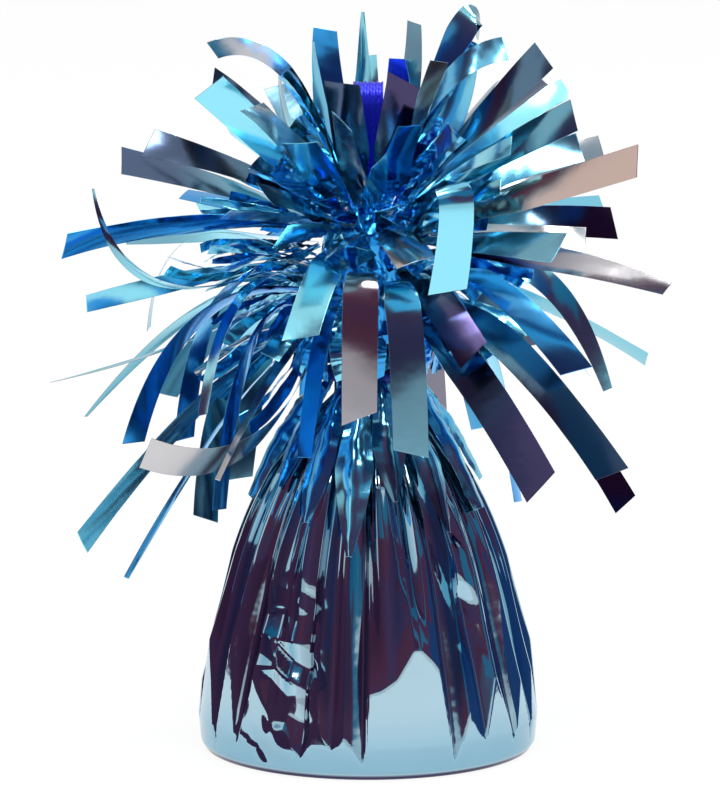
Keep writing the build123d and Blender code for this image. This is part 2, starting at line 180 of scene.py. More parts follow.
# Studio, in metres: a pale floor, a white sky, soft lamps, and a dark room on the camera's side for the film
# to mirror
studio = {
    "floorColour": "#F2F3F4",
    "floorSize": 16.0,
    "floorDrop": 2e-4,
    # how much plain white the camera and the film see in the floor
    "floorForCamera": 0.92,
    "floorForFilm": 0.65,
    # how bright the sky is for the camera, in the film and on the floor
    "skyForCamera": 1.0,
    "skyForFilm": 0.85,
    "skyForFloor": 0.55,
    # what stands in the room: the share of the wall where each colour starts
    "wallColours": ((0.0, "#6A3A58"), (0.32, "#2C4A7C"), (0.52, "#54304E"),
                    (0.75, "#3B7C9C"), (0.85, "#A3BCCB"), (0.93, "#F4F6F8")),
    "wallMiddle": "#6B3950",  # straight behind the camera
    "middleShare": 0.7,
    "middleReach": 1.45,  # from the object towards the camera, where the middle starts
    "wallPatch": (0.5, 0.5, 1.3),  # taller than wide
    # the far wall, then two low boards beside the weight: radius, first and last azimuth, lowest and highest
    # elevation
    "walls": ((1.9, 152, 388, 9, 60), (0.15, 138, 250, 0.5, 28), (0.15, 336, 388, 0.5, 28)),
    "wallGrid": (17, 33),  # points up and across each
    "lampAim": 0.07,  # above the floor
}
lamps = (
    # name, azimuth, elevation, distance m, width m, watts
    ("keyLamp", 256, 68, 1.5, 0.4, 9),
    ("fillLamp", 322, 63, 1.6, 0.35, 6),
    ("topLamp", 90, 78, 1.5, 0.5, 6),
    ("glintLamp", 293, 51, 1.5, 0.2, 2.5),
    ("leftGlintLamp", 172, 58, 1.5, 0.2, 2.5),
    ("rightGlintLamp", 32, 48, 1.5, 0.2, 2.5),
)

floorMaterial, tree = newMaterial("paleStudioFloor")
rays = addNode(tree, "ShaderNodeLightPath")
paint = addNode(tree, "ShaderNodeBsdfDiffuse", {"Color": linearColour(studio["floorColour"])})
white = addNode(tree, "ShaderNodeEmission", {"Color": (1, 1, 1, 1), "Strength": 1.0})
shown = mathNode(tree, "MULTIPLY", rays.outputs["Is Camera Ray"], studio["floorForCamera"])
mirrored = mathNode(tree, "MULTIPLY", rays.outputs["Is Glossy Ray"], studio["floorForFilm"])
mixed = mixShaders(tree, mathNode(tree, "MAXIMUM", shown, mirrored), paint, white)
addNode(tree, "ShaderNodeOutputMaterial", {"Surface": mixed.outputs[0]})
half, drop = studio["floorSize"] / 2, -studio["floorDrop"]
floorMesh = bpy.data.meshes.new("floor")
corners = [(-half, -half, drop), (half, -half, drop), (half, half, drop), (-half, half, drop)]
floorMesh.from_pydata(corners, [], [(0, 1, 2, 3)])
floorMesh.materials.append(floorMaterial)
floor = bpy.data.objects.new("floor", floorMesh)
bpy.context.scene.collection.objects.link(floor)

world = bpy.context.scene.world or bpy.data.worlds.new("studioSky")
bpy.context.scene.world = world
world.use_nodes = True
world.node_tree.nodes.clear()
tree = world.node_tree
rays = addNode(tree, "ShaderNodeLightPath")
backdrop, shown, light = (
    addNode(tree, "ShaderNodeBackground", {"Color": (1, 1, 1, 1), "Strength": studio[name]})
    for name in ("skyForCamera", "skyForFilm", "skyForFloor"))
seen = mathNode(tree, "MAXIMUM", rays.outputs["Is Glossy Ray"], rays.outputs["Is Transmission Ray"])
mixed = mixShaders(tree, seen, light, shown)
mixed = mixShaders(tree, rays.outputs["Is Camera Ray"], mixed, backdrop)
addNode(tree, "ShaderNodeOutputWorld", {"Surface": mixed.outputs[0]})

wallMaterial, tree = newMaterial("darkRoomWall")
place = addNode(tree, "ShaderNodeTexCoord").outputs["Object"]
cellScale = [1 / size for size in studio["wallPatch"]]
cells = addNode(tree, "ShaderNodeMapping", {"Scale": cellScale, "Vector": place})
patch = addNode(tree, "ShaderNodeTexVoronoi", {"Scale": 1.0, "Randomness": 1.0, "Vector": cells.outputs[0]})
pick = addNode(tree, "ShaderNodeSeparateColor", {0: patch.outputs["Color"]})
ramp = addNode(tree, "ShaderNodeValToRGB", {0: pick.outputs[0]})
ramp.color_ramp.interpolation = "CONSTANT"
for step, (position, colour) in enumerate(studio["wallColours"]):
    stop = ramp.color_ramp.elements[step] if step < 2 else ramp.color_ramp.elements.new(position)
    stop.position = position
    stop.color = linearColour(colour)
apart = addNode(tree, "ShaderNodeSeparateXYZ", {0: place})
middle = mathNode(tree, "LESS_THAN", apart.outputs["Y"], -studio["middleReach"])
middle = mathNode(tree, "MULTIPLY", middle, studio["middleShare"])
room = mixColours(tree, middle, ramp.outputs[0], linearColour(studio["wallMiddle"]))
glow = addNode(tree, "ShaderNodeEmission", {"Strength": 1.0, "Color": room})
addNode(tree, "ShaderNodeOutputMaterial", {"Surface": glow.outputs[0]})
# Parts of spheres round the object: azimuth across the grid, elevation up it
rows, columns = studio["wallGrid"]
wallPoints, wallFaces = [], []
for radius, first, last, low, high in studio["walls"]:
    spin = np.radians(np.linspace(first, last, columns))[None, :]
    rise = np.radians(np.linspace(low, high, rows))[:, None]
    part = np.broadcast_arrays(np.cos(rise) * np.cos(spin), np.cos(rise) * np.sin(spin), np.sin(rise))
    index = len(wallPoints) * rows * columns + np.arange(rows * columns).reshape(rows, columns)
    corners = np.stack([index[:-1, :-1], index[1:, :-1], index[1:, 1:], index[:-1, 1:]], -1)
    wallFaces += corners.reshape(-1, 4).tolist()
    wallPoints.append(radius * np.stack(part, -1).reshape(-1, 3))
wallMesh = bpy.data.meshes.new("roomWall")
wallMesh.from_pydata(np.concatenate(wallPoints).tolist(), [], wallFaces)
wallMesh.materials.append(wallMaterial)
wall = bpy.data.objects.new("roomWall", wallMesh)
bpy.context.scene.collection.objects.link(wall)
wall.visible_camera = False
wall.visible_diffuse = False
wall.visible_shadow = False

for name, azimuth, elevation, distance, width, watts in lamps:
    spin, rise = math.radians(azimuth), math.radians(elevation)
    lampData = bpy.data.lights.new(name, "AREA")
    lampData.size = width
    lampData.energy = watts
    lamp = bpy.data.objects.new(name, lampData)
    outward = np.array([math.cos(rise) * math.cos(spin), math.cos(rise) * math.sin(spin), math.sin(rise)])
    lamp.location = outward * distance + np.array([0, 0, studio["lampAim"]])
    lamp.rotation_euler = (math.pi / 2 - rise, 0, spin + math.pi / 2)
    bpy.context.scene.collection.objects.link(lamp)
print("studio lit")


# Metallised film: a mirror on thin plastic, so it shows the room in soft, slightly rippled patches, light
# blue on its lacquered side and silver behind. Each strip also carries painted reflections: a deeper blue, a
# warm tan or a dark purple-grey that stand for what it mirrors.
film = {
    "blueTint": "#90DEF0",
    # a deep blue painted for light bounced between the strips
    "bouncedBlueTint": "#3A9CE0",
    # a dark purple-grey painted on the film for the reflection of the dark room
    "darkReflectionTint": "#464062",
    "silverTint": "#C6C4C6",
    # a warm tan painted on the silver side for the reflection of a warm room
    "warmReflectionTint": "#CDB3A8",
    "wrapTint": "#A6C4D2",
    # a deeper teal painted on the wrap for the colours it mirrors
    "wrapDeepReflectionTint": "#4F9CBC",
    "stripRoughness": 0.15,
    "wrapRoughness": 0.07,
    "rippleSize": 2.6,
    "rippleHeight": 0.02,
}


def filmMaterial(name, paleTint, deepReflectionTint, roughness):
    # A painted reflection tone from 0 to 1 runs from the pale tint to the deep one, painted for light bounced
    # between the strips, and from 0 to -1 to a dark tint painted for the mirrored dark room; ripples are a
    # few millimetres long
    material, tree = newMaterial(name)
    reflectionTone = addNode(tree, "ShaderNodeAttribute", {"attribute_name": "reflectionTone"}).outputs["Fac"]
    tint = mixColours(tree, reflectionTone, linearColour(paleTint), linearColour(deepReflectionTint))
    tint = mixColours(tree, mathNode(tree, "MULTIPLY", reflectionTone, -1.0), tint, linearColour(film["darkReflectionTint"]))
    ripple = fineNoise(tree, film["rippleSize"], 1.0)
    bump = addNode(tree, "ShaderNodeBump", {
        "Strength": 1.0, "Distance": film["rippleHeight"] * mm, "Height": ripple})
    shader = addNode(tree, "ShaderNodeBsdfPrincipled", {
        "Metallic": 1.0, "Roughness": roughness, "Base Color": tint, "Normal": bump.outputs[0]})
    addNode(tree, "ShaderNodeOutputMaterial", {"Surface": shader.outputs[0]})
    return material


blueFilm = filmMaterial("blueMetallisedFilm", film["blueTint"], film["bouncedBlueTint"], film["stripRoughness"])
silverFilm = filmMaterial("silverFilmReverse", film["silverTint"], film["warmReflectionTint"], film["stripRoughness"])
wrapFilm = filmMaterial("stretchedBlueFilm", film["wrapTint"], film["wrapDeepReflectionTint"], film["wrapRoughness"])
print("film made")

# Foil wrap: taut round the foot of the cup, then gathered in flat panels towards the neck
wrap = {
    "baseRadius": 31.5,
    "bodyHeight": 66.0,
    "neckRadius": 6.0,
    "neckTop": 74.0,
    # height by bodyHeight, radius by baseRadius, crease depth by the depth below
    "levels": ((0.0, 0.960, 0.04), (0.02, 0.988, 0.06), (0.092, 1.0, 0.12), (0.258, 0.95, 0.34),
               (0.394, 0.893, 0.6), (0.53, 0.803, 0.85), (0.652, 0.705, 1.0), (0.788, 0.556, 1.0),
               (0.909, 0.37, 0.7)),
    "depth": 2.4,
    "neckDepth": 0.5,
    # gather lines in front: azimuth, height of the taut foot by bodyHeight, 1 for a ridge to -1 for a valley
    "lines": ((200, .21, .5), (206, .03, -.8), (213, .36, .9), (219.6, .05, -.9), (227, .27, .7),
              (233, .11, -.5), (240.6, .14, .5), (247, .05, -.8), (251.6, .15, .6), (257.5, .08, .2),
              (262, .12, .5), (268.6, .03, -1), (269.8, .24, -.3), (274.4, .25, .8), (280, .28, .9),
              (286, .36, .2), (289, .36, -.7), (292.5, .33, .5), (296, .29, .3), (300.4, .03, -1),
              (307, .17, .8), (313, .08, -.9), (320, .26, .8), (329, .05, -.9), (336, .23, .7)),
    # and round the back, where these are run through four times
    "backFeet": (.04, .24, .09, .30, .03, .19, .07, .33),
    "backRidges": (-.9, .8, -.6, 1, -1, .6, -.5, .9),
    "backRuns": 4,
    "pleatRun": 16.0,
    # the rounded foot, and the cone above it
    "footHeight": 6.0,
    "footSlope": 0.09,
    "gatherHeight": 0.606,  # by bodyHeight
    # the soft bend at the gathers: averaged so far up and down, and blended in between two distances
    "evening": 7.0,
    "eveningSteps": 11,
    "eveningFade": (4.2, 9.1),
    "around": 560,
    "up": 150,
    "footRows": 16,
    "footRings": 6,
    # painted reflection tones: streaks that start above the knees, a deeper band by the foot, and a painted
    # dark line of shade along its edge
    "streaks": 96,
    "streakReflectionTones": (-0.5, 1.1),
    "streakRun": 10,
    "streakSeed": 11,
    # painted reflection: a deeper teal band by the foot
    "rimReflectionTone": 0.4,
    "rimReflectionBand": (2, 14),
    # painted shade: the lowest millimetre turns to the dark tint, a dark line where the film folds under
    # against the floor
    "edgeShadeTone": -1.6,
    "edgeShadeBand": (0.5, 1.1),
}
# Fine creases between the gather lines
fine = {
    "count": 130,
    "depth": 0.32,
    "sway": 0.32,
    "sizes": (0.3, 1.0),
    "ends": (10, 46),
    "runs": (10, 26),
    "kneeRun": 12,
    "sweeps": ((308, 30, 26), (232, 22, -12)),  # where they slant: azimuth, spread, and turn by the foot
    "seed": 12,
}
# Crumpled film in patches: azimuth and its spread, lowest and highest edge, share of the height
crumple = {
    "facet": 5.6,
    "height": 1.3,
    "radius": 30,  # where the facets have that width
    "lowFade": 3,
    "highFade": 4,
    "patches": ((238, 13, 3, 33, 1.0), (312, 6, 22, 42, 0.6), (28, 15, 4, 30, 0.8),
                (112, 20, 12, 40, 0.7), (158, 9, 3, 20, 0.8)),
    "seed": 3,
}
wrapHeights = np.array([row[0] * wrap["bodyHeight"] for row in wrap["levels"]]
                       + [wrap["bodyHeight"], wrap["neckTop"]])
wrapRadii = np.array([row[1] * wrap["baseRadius"] for row in wrap["levels"]] + [wrap["neckRadius"]] * 2)
wrapDepths = np.array([row[2] * wrap["depth"] for row in wrap["levels"]] + [wrap["neckDepth"]] * 2)


def levelRadius(height):
    # Middle radius of the wrap at a height, straight between the levels beside it
    return np.interp(height, wrapHeights, wrapRadii)


def wrapRadius(height):
    # The same, evened over 4 mm
    return np.mean([levelRadius(height + step) for step in np.linspace(-2, 2, 9)], axis=0)


def gatherLines():
    # The lines in front, as listed, then evenly spread ones round the back
    front = np.array(wrap["lines"], float)
    feet, ridges = (np.tile(wrap[name], wrap["backRuns"]) for name in ("backFeet", "backRidges"))
    azimuth = np.linspace(front[-1, 0], front[0, 0] + 360, len(feet) + 2)[1:-1]
    lines = np.concatenate([front, np.stack([azimuth, feet, ridges], -1)])
    return lines * (1, wrap["bodyHeight"], 1)


def creaseField(angle, height):
    # Fine creases from the neck downwards, ridge and valley in turn, joined by flat panels. Each has its own
    # azimuth, and fades out at its own lower end.
    count = fine["count"]
    gen = np.random.default_rng(fine["seed"])
    place = (np.arange(count) + gen.uniform(-fine["sway"], fine["sway"], count)) / count * 2 * np.pi
    sign = np.where(np.arange(count) % 2 == 0, 1.0, -1.0) * gen.uniform(*fine["sizes"], count)
    low = gen.uniform(*fine["ends"], count)
    grow = smoothStep(0, 1, (height - low) / gen.uniform(*fine["runs"], count)) * sign
    turned = place[0] + (angle - place[0]) % (2 * np.pi)
    left = np.searchsorted(place, turned, side="right") - 1
    closed = np.append(place, place[0] + 2 * np.pi)
    share = (turned - closed[left]) / (closed[left + 1] - closed[left])
    here, after = (np.take_along_axis(grow, order, 1) for order in (left, (left + 1) % count))
    return here * (1 - share) + after * share


def crumpleShare(degrees, height):
    # The share of the crumple at each place: a patch's own inside it, fading out round it
    share = 0
    for azimuth, spread, low, high, strength in crumple["patches"]:
        apart = (degrees - azimuth + 180) % 360 - 180
        rise = smoothStep(low - crumple["lowFade"], low + crumple["lowFade"], height)
        fall = smoothStep(-high - crumple["highFade"], -high + crumple["highFade"], -height)
        share = share + strength * (rise * fall) * np.exp(-((apart / spread) ** 4))
    return share


def onChord(wave, angle, height, share):
    # A cosine or sine round the wrap, drawn by the share to the straight chord between the ends of a facet
    step = crumple["facet"] / crumple["radius"]
    lean = lattice["lean"] * height / crumple["radius"]
    first = np.floor((angle + lean) / step) * step - lean
    part = (angle - first) / step
    return wave(angle) + share * (wave(first) * (1 - part) + wave(first + step) * part - wave(angle))


def wrapProfile(height, knee):
    # A rounded foot and a steep cone up to the knee, a straight run in to the gathers, then the levels
    top, foot = wrap["gatherHeight"] * wrap["bodyHeight"], wrap["footHeight"]
    cone = lambda z: np.where(z < foot, levelRadius(z), wrap["baseRadius"] - wrap["footSlope"] * (z - foot))

    def profile(z):
        run = np.clip((z - knee) / (top - knee), 0, 1)
        gathered = cone(knee) * (1 - run) + levelRadius(top) * run
        return np.where(z < knee, cone(z), np.where(z < top, gathered, levelRadius(z)))

    steps = np.linspace(-wrap["evening"], wrap["evening"], wrap["eveningSteps"])
    evened = np.mean([profile(height + step) for step in steps], axis=0)
    near = 1 - smoothStep(*wrap["eveningFade"], np.abs(height - top))
    return profile(height) * (1 - near) + evened * near


def wrapReflectionTone(degrees, height, knee):
    # Painted reflection streaks above the knees, a deeper painted reflection band by the foot, and a dark
    # edge of painted shade where the film is folded under
    count = wrap["streaks"]
    streak = np.random.default_rng(wrap["streakSeed"]).uniform(*wrap["streakReflectionTones"], count)
    streak = np.interp(degrees, np.arange(count) / count * 360, streak, period=360)
    band = wrap["rimReflectionTone"] * (1 - smoothStep(*wrap["rimReflectionBand"], height))
    edge = wrap["edgeShadeTone"] * (1 - smoothStep(*wrap["edgeShadeBand"], height))
    return streak * smoothStep(0, wrap["streakRun"], height - knee) + band + edge


def buildWrap():
    # A grid of azimuth by height on the wrap's profile. Gather lines push it out and in by the depth, with
    # flat panels between. Then come the fine creases, sheared where they slant, and flat facets where it is
    # crumpled. The foot is closed by rings to the middle.
    lines = gatherLines()
    columns, foot, footRows = wrap["around"], wrap["footHeight"], wrap["footRows"]
    degrees = lines[0, 0] + np.arange(columns) / columns * 360
    angle = np.radians(degrees)
    knee, ridge = (np.interp(degrees, lines[:, 0], values, period=360)[None, :] for values in lines[:, 1:].T)
    height = np.concatenate([np.linspace(0, foot, footRows)[:-1],
                             np.linspace(foot, wrap["neckTop"], wrap["up"] - footRows + 1)])[:, None]
    depth = np.interp(height, wrapHeights, wrapDepths)
    offset = ridge * depth / 2 * np.clip((height - knee) / wrap["pleatRun"], 0, 1)
    sweep = sum(turn * np.exp(-(((degrees - azimuth) / spread) ** 2))
                for azimuth, spread, turn in fine["sweeps"])
    sheared = (angle - np.radians(sweep) * (1 - height / wrap["bodyHeight"])) % (2 * np.pi)
    creases = creaseField(sheared, height) * fine["depth"] * smoothStep(0, fine["kneeRun"], height - knee)
    x, y = angle[None, :] * crumple["radius"] / crumple["facet"], height / crumple["facet"] + 0 * angle
    facets = facetNoise(x, y, crumple["seed"]) * crumple["height"]
    share = crumpleShare(degrees, height)
    wall = wrapProfile(height, knee) + (offset + facets * share + creases * (1 - share))
    x, y = (wall * onChord(wave, angle, height, share) for wave in (np.cos, np.sin))
    side = np.stack([x, y, np.broadcast_to(height, x.shape)], -1)
    rings = np.linspace(0, 1, wrap["footRings"] + 1)[1:-1, None]
    floorRings = np.stack(np.broadcast_arrays(x[0] * rings, y[0] * rings, 0 * rings * x[0]), -1)
    points = np.concatenate([[[0, 0, 0]], floorRings.reshape(-1, 3), side.reshape(-1, 3)])
    index, turned, faces = ringFaces(len(rings) + len(height), columns, 1)
    pole = np.stack([np.zeros(columns, int), turned[0], index[0]], -1)
    reflectionTone = wrapReflectionTone(degrees, height, knee).reshape(-1)
    return points, faces, pole, np.concatenate([np.zeros(len(points) - len(reflectionTone)), reflectionTone])


points, faces, pole, reflectionTone = buildWrap()
wrapPiece = makePiece("foilWrap", points, faces, "base", [wrapFilm], reflectionTone=reflectionTone, pole=pole)
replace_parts(wrapPiece, "foil_wrap")
print("wrap gathered")

# Fringe strips: the same curves as the solids, in thin film with square, slanting or pointed ends. A few are
# turned differently about their length.
fringe = {
    "middle": 94.0,
    "radius": 56.0,
    "heartRadius": 9.0,
    "straight": 16.0,
    "gap": 0.5,
    "width": 6.5,
    "film": 0.05,
    "stations": 41,
    "across": 8,
    # thin rows at the cut edges and ends keep the shading of the face flat up to them
    "edge": 0.02,
    "endEdge": 0.0025,
    "rootWidth": 0.3,
    "fullWidth": 0.5,
    "rootRoll": 0.3,
    "rootDrop": 0.875,
    "crinkle": 0.6,
    "pointTaper": 0.94,
    "pointCurve": 1.5,
    "cupLevel": 0.4,
    "tipFolds": 0.2,
    # shares of the length: where a point and a slant start, where a sway, a spin and the folds are full
    "pointFrom": 0.5,
    "slantFrom": 0.4,
    "swayFull": 0.4,
    "spinFull": 0.6,
    "foldsFull": 0.08,
    "reflectionToneChange": (0.4, 0.8),
}
# Drawn for each strip, to either side of 0 or between two values: the slant of its end, its sway and how
# often, its cup, and its folds by their height, number and slant
draws = {
    "slant": 0.32,
    "sway": 0.2,
    "swayCount": (0.5, 1.1),
    "cup": 0.16,
    "waves": ((0.1, 0.3), (1.2, 2.6), 0.8),
    "creases": ((0.06, 0.2), (2.5, 5.5), 0.35),
    "fineCreases": ((0.03, 0.09), (8, 13), 0.6),
}
# The short inner strips beside the long ones, and a second, turned one between the two
inner = {
    "share": 0.5,
    "width": 0.7,
    "rootLift": 0.7,
    "lift": 5.0,
    "crinkle": 3.2,
    "points": (0, 0.5),
    "silverShare": 0.12,
    # painted reflection tones of the inner strips, mostly deep blue for light bounced between the strips
    "reflectionTones": (-0.3, 1.1),
    "seed": 500,
    "pair": ((1.0, 0, 200), (0.5, 38, 250)),  # share of the lift, turn and seed of each
}
# azimuth, reach, rise, arch, place of the bend, roll, width, lift of the inner strip, then the film's sides
# (1 blue on both, 0 silver below, -1 silver above), how pointed the end is, and the painted reflection tones
# of root and tip
tuftRows = {
    "crownTuft": ("crown_tuft", (
        (95, .20, .74, .04, 1.2, 45, .8, 1, 1, .9, 0, -.2),
        (60, .19, .59, .10, 1.2, 10, .9, -.6, 1, .5, .5, .5),
        (250, .25, .56, .02, .6, 15, 1, -.3, 1, 0, -.9, -.9),
        (290, .33, .58, .02, .6, -35, .9, 0, 1, 0, -.8, -1))),
    "upperLeftTuft": ("upper_left_tuft", (
        (176, .51, .53, .12, .5, 55, 1, 1, 1, 0, -.7, -.9),
        (165, .53, .62, .42, .5, 50, 1, -.3, 0, .2, -.6, 0),
        (225, .53, .50, .06, .5, 20, 1, 1, 0, 0, 0, 0),
        (130, .28, .64, .02, .9, 30, .8, 1, 1, .8, .6, .3))),
    "leftTuft": ("left_tuft", (
        (195, 1.02, .03, .12, .5, 60, .9, 1, 1, 0, .9, 1),
        (172, .82, .26, .05, .5, 60, 1, -1, 1, 0, -.5, -.9),
        (184, .72, .34, .08, .5, -50, 1, .6, 1, 0, -.7, -.9),
        (200, .55, .54, .02, .5, 80, 1, -1, 1, 0, .3, 0))),
    "leftLowTuft": ("left_low_tuft", (
        (188, .93, -.18, .05, .5, 60, .8, 1, 1, .3, .5, 0),
        (201, .95, .23, -.42, .9, 20, .7, 1, 1, .9, .1, -.4),
        (178, 1.05, -.47, -.05, .5, 0, .6, 0, 1, 1, -.3, -.3),
        (173, .73, -.30, .40, .95, 5, .6, -1, 1, .3, 0, -.4),
        (166, .97, -.62, .35, .5, 30, .8, 1, 1, .9, 0, -.3))),
    "lowerLeftTuft": ("lower_left_tuft", (
        (205, .84, -.60, .35, .8, 70, 1, -1, 1, .2, .9, 1),
        (187, .61, -.64, .50, .9, 50, .9, -1, 1, .2, .9, .6),
        (217, .67, -.50, .40, .85, 20, .8, 1, 1, 0, .8, 0),
        (195, .97, -.95, .25, .5, 60, .9, 1, 1, 0, .3, 0),
        (184, .80, -1.11, .30, .5, 30, .7, 1, 1, .6, .8, .7))),
    "hangingLeftTuft": ("hanging_left_tuft", (
        (222, .96, -.58, -.45, .4, 75, .9, 1, 0, 0, .2, 0),
        (235, .84, -.66, .15, .6, 40, 1, 1, -1, 0, .3, .8),
        (165, .56, -.95, .42, .95, 40, .8, 1, 1, 0, .2, -.6),
        (208, .55, -.84, .50, .85, 65, .9, -1, 1, .3, 1, .8))),
    "upperRightTuft": ("upper_right_tuft", (
        (20, .38, .66, .62, 1.1, 35, 1, -1, 1, 0, .9, -.7),
        (354, .45, .65, .30, .5, 50, .9, 0, 1, .2, .6, .4),
        (314, .33, .63, .05, .6, 10, .9, -1, 0, 0, -.4, .8),
        (338, .50, .35, .06, .5, 30, .9, -.3, 1, 0, .2, 0))),
    "rightFanTuft": ("right_fan_tuft", (
        (345, .59, .64, .02, .5, 75, .9, .6, 1, 0, -.3, -.8),
        (10, .59, .52, .06, .5, 10, .9, 1, 1, .3, -.4, -.9),
        (22, .71, .48, .10, .5, 60, .9, -1, 1, .3, .2, 0),
        (350, .68, .44, .05, .5, 70, .9, -1, 1, 0, -.2, -.5),
        (5, .70, .31, .06, .5, 65, .9, -1, 1, 0, 0, -.5))),
    "rightTuft": ("right_tuft", (
        (339, .93, .32, 0, .5, 80, .9, 1, -1, 0, .5, 1),
        (25, .86, .26, .06, .5, 60, .9, -1, -1, 0, 0, 0),
        (8, .82, .05, .06, .5, 80, .9, -1, 1, 0, -.4, -1),
        (350, .72, .03, .05, .5, 40, .9, 1, -1, 0, 0, 0))),
    "rightReachTuft": ("right_reach_tuft", (
        (325, .75, .05, .02, .5, 40, 1.1, 1, 1, 0, -.2, -.5),
        (335, 1.06, -.08, .10, .5, 60, .9, -1, -1, .6, -1, -.1),
        (15, .96, -.43, .15, .5, 30, .9, 1, 1, 0, .3, 0))),
    "lowerRightTuft": ("lower_right_tuft", (
        (343, .71, -.39, .28, .5, 50, .9, -1, 1, 0, .9, .8),
        (1, .79, -.49, .42, .75, 55, .9, -.6, 1, .7, .2, -.4),
        (341, .84, -.72, .30, .5, 50, 1.1, -1, 1, 0, -.5, -.9),
        (6, .86, -.89, .40, .5, 45, 1, 1, 1, 0, -.3, -1))),
    "hangingRightTuft": ("hanging_right_tuft", (
        (305, .59, -.29, .15, .5, 45, 1, 1, 1, 0, -.8, -1),
        (310, .86, -.69, .20, .5, 55, 1.1, 1, 1, 0, -.6, -1),
        (327, .45, -.57, .35, .7, 60, .9, -.3, 1, .2, 1, .7),
        (352, .50, -.85, .33, .8, 20, .8, -1, 1, .2, .9, 1))),
    "frontTuft": ("front_tuft", (
        (303, .47, -.10, .62, 1.4, 15, 1.1, -1, 1, 0, .4, 0),
        (284, .62, .03, .10, .5, 20, 1.1, 1, -1, 0, .2, .5),
        (287, .47, -.62, .50, .9, 15, 1, -1, 1, 0, -.1, -.6),
        (266, .42, -.51, .45, .9, 0, 1, -1, -1, 0, -.2, -.4),
        (244, .50, -.24, .25, .5, -20, 1, -1, 1, 0, .4, 0),
        (248, .55, -.62, .35, .7, 25, .7, -1, 1, .3, .8, 1))),
}
# Fans of like strips: first and last azimuth, reach, rise, arch, place of the bend, lifts of the inner strips
fanRows = {
    "frontUpperTuft": ("front_upper_tuft", (238, 312, .42, .38, 0, .5), (-.6, .3, .3, -.3, -1)),
    "frontMiddleTuft": ("front_middle_tuft", (213, 262, .55, .14, .04, .5), (-1, -.3, -1, -.3, -1)),
    "backCrownTuft": ("back_crown_tuft", (40, 140, .42, .62, .05, 1.0), (1, -1, 1, -1, .6)),
    "backUpperLeftTuft": ("back_upper_left_tuft", (104, 160, .75, .38, 0, .5), (1, -.6, -1, -.6, .6)),
    "backUpperRightTuft": ("back_upper_right_tuft", (40, 82, .75, .38, 0, .5), (-1, -.3, -1, -.3, -1)),
    "backLeftTuft": ("back_left_tuft", (97, 160, .95, .05, .03, .5), (1, 1, 1, -1, -1)),
    "backRightTuft": ("back_right_tuft", (34, 83, .95, .05, .03, .5), (-1, -.3, -1, -1, -1)),
    "backLowLeftTuft": ("back_low_left_tuft", (97, 151, .85, -.50, .30, .5), (1, 0, -1, -.6, -.6)),
    "backLowRightTuft": ("back_low_right_tuft", (30, 84, .85, -.50, .30, .5), (1, 0, .3, -.3, .3)),
    "backHangingTuft": ("back_hanging_tuft", (45, 135, .68, -.80, .45, .8), (-1, -1, -1, -1, -1)),
}
# How the strips of a fan differ: reach, rise, roll, width, film's sides, pointed end, painted reflection
# tones of root and tip
fanShares = np.array((
    (1, 0, 25, .9, 1, 0, .6, .2),
    (.86, .07, -40, 1, 0, .2, .2, -.7),
    (.96, -.05, 55, .85, 1, 0, .5, 0),
    (.8, .05, -15, .95, 1, .3, .9, 1),
    (.92, -.07, 40, .9, 1, 0, .2, -.5)))


def fanToRows(fan, lifts):
    # The strips of a fan, evenly spread from the first azimuth to the last
    first, last, reach, rise, arch, bow = fan
    azimuth = np.linspace(first, last, len(fanShares))
    reachShare, riseStep, roll, width, *others = fanShares.T
    columns = azimuth, reach * reachShare, rise + riseStep, arch, bow, roll, width, np.array(lifts), *others
    return np.stack(np.broadcast_arrays(*columns), -1)


up = np.array([0, 0, 1.0])


def outwardOf(azimuth):
    spin = np.radians(azimuth)
    return np.stack([np.cos(spin), np.sin(spin), 0 * spin], -1)


def burstCurves(rows):
    # Root, bend and tip of each strip. Rising strips leave the heart's round top towards their bend, and the
    # others leave its side level, lower down the more they hang.
    outward = outwardOf(rows[:, 0])
    reach, rise, arch, bow = (column[:, None] for column in rows[:, 1:5].T)
    start = up * (fringe["middle"] + fringe["rootDrop"] * np.minimum(rise, 0) * fringe["straight"])
    tip = up * fringe["middle"] + (outward * reach + up * rise) * fringe["radius"]
    bend = up * ((start[:, 2:] + tip[:, 2:]) / 2) + (outward * (bow * reach) + up * arch) * fringe["radius"]
    lean = np.where(np.minimum(rise, bend[:, 2:] - start[:, 2:]) >= 0, unit(bend - start), outward)
    return start + lean * (fringe["heartRadius"] + fringe["gap"]), bend, tip


def softWave(phase, lean):
    return np.sin(2 * np.pi * phase + lean)


def creaseWave(phase, lean):
    return triangleWave(phase + lean)


